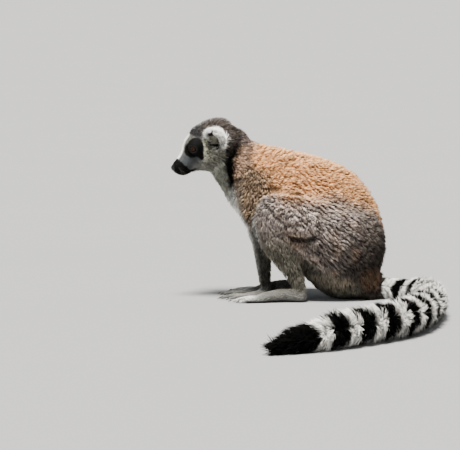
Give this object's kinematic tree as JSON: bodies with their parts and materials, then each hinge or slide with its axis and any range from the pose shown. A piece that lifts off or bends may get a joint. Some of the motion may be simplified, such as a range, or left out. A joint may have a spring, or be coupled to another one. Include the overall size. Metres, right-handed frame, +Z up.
{
  "type": "ring-tailed lemur",
  "caption": "Life-size still model of a ring-tailed lemur crouched on its hands, feet and rump, with its long ringed tail curved round on the floor.",
  "frame": {"origin": "middle of the flat under the rump that the animal sits on, at floor level and on the midline of the trunk", "axes": "+Z up, the trunk faces -X, the animal's left side is towards -Y, and the tail leaves the rump along +X and curves round on the floor towards -Y"},
  "size_m": [0.3503, 0.5922, 0.2301],
  "materials": {
    "fur_trunk": "dense woolly fur, rufous brown on the back and greyer on the flank, white underneath",
    "fur_neck": "dense dark grey-brown fur with a white throat",
    "fur_head": "short fur, white and pale grey with a dark crown, dark eye rings and a black muzzle",
    "fur_ears": "white fringed fur round a dark hollow",
    "fur_arms": "short grey-brown fur with a white leading edge",
    "fur_legs": "woolly grey-brown fur",
    "fur_hands_feet": "very short whitish grey fur over dark skin",
    "fur_tail": "long fur in black and white rings, with a black tip",
    "eyes": "amber iris with a black pupil under a clear wet surface",
    "nose_skin": "bare black skin, damp on the nose",
    "claws": "black horn, slightly glossy",
    "whiskers": "stiff dark hairs"
  },
  "bodies": {
    "root": {"trunk": "fur_trunk", "neck": "fur_neck", "head": "fur_head", "ear_left": "fur_ears", "eye_left": "eyes", "upper_arm_left": "fur_arms", "forearm_left": "fur_arms", "hand_left": "fur_hands_feet", "thigh_left": "fur_legs", "shank_left": "fur_legs", "foot_left": "fur_hands_feet", "ear_right": "fur_ears", "eye_right": "eyes", "upper_arm_right": "fur_arms", "forearm_right": "fur_arms", "hand_right": "fur_hands_feet", "thigh_right": "fur_legs", "shank_right": "fur_legs", "foot_right": "fur_hands_feet", "tail_1": "fur_tail", "tail_2": "fur_tail", "tail_3": "fur_tail", "tail_4": "fur_tail", "tail_5": "fur_tail"}
  },
  "joints": []
}
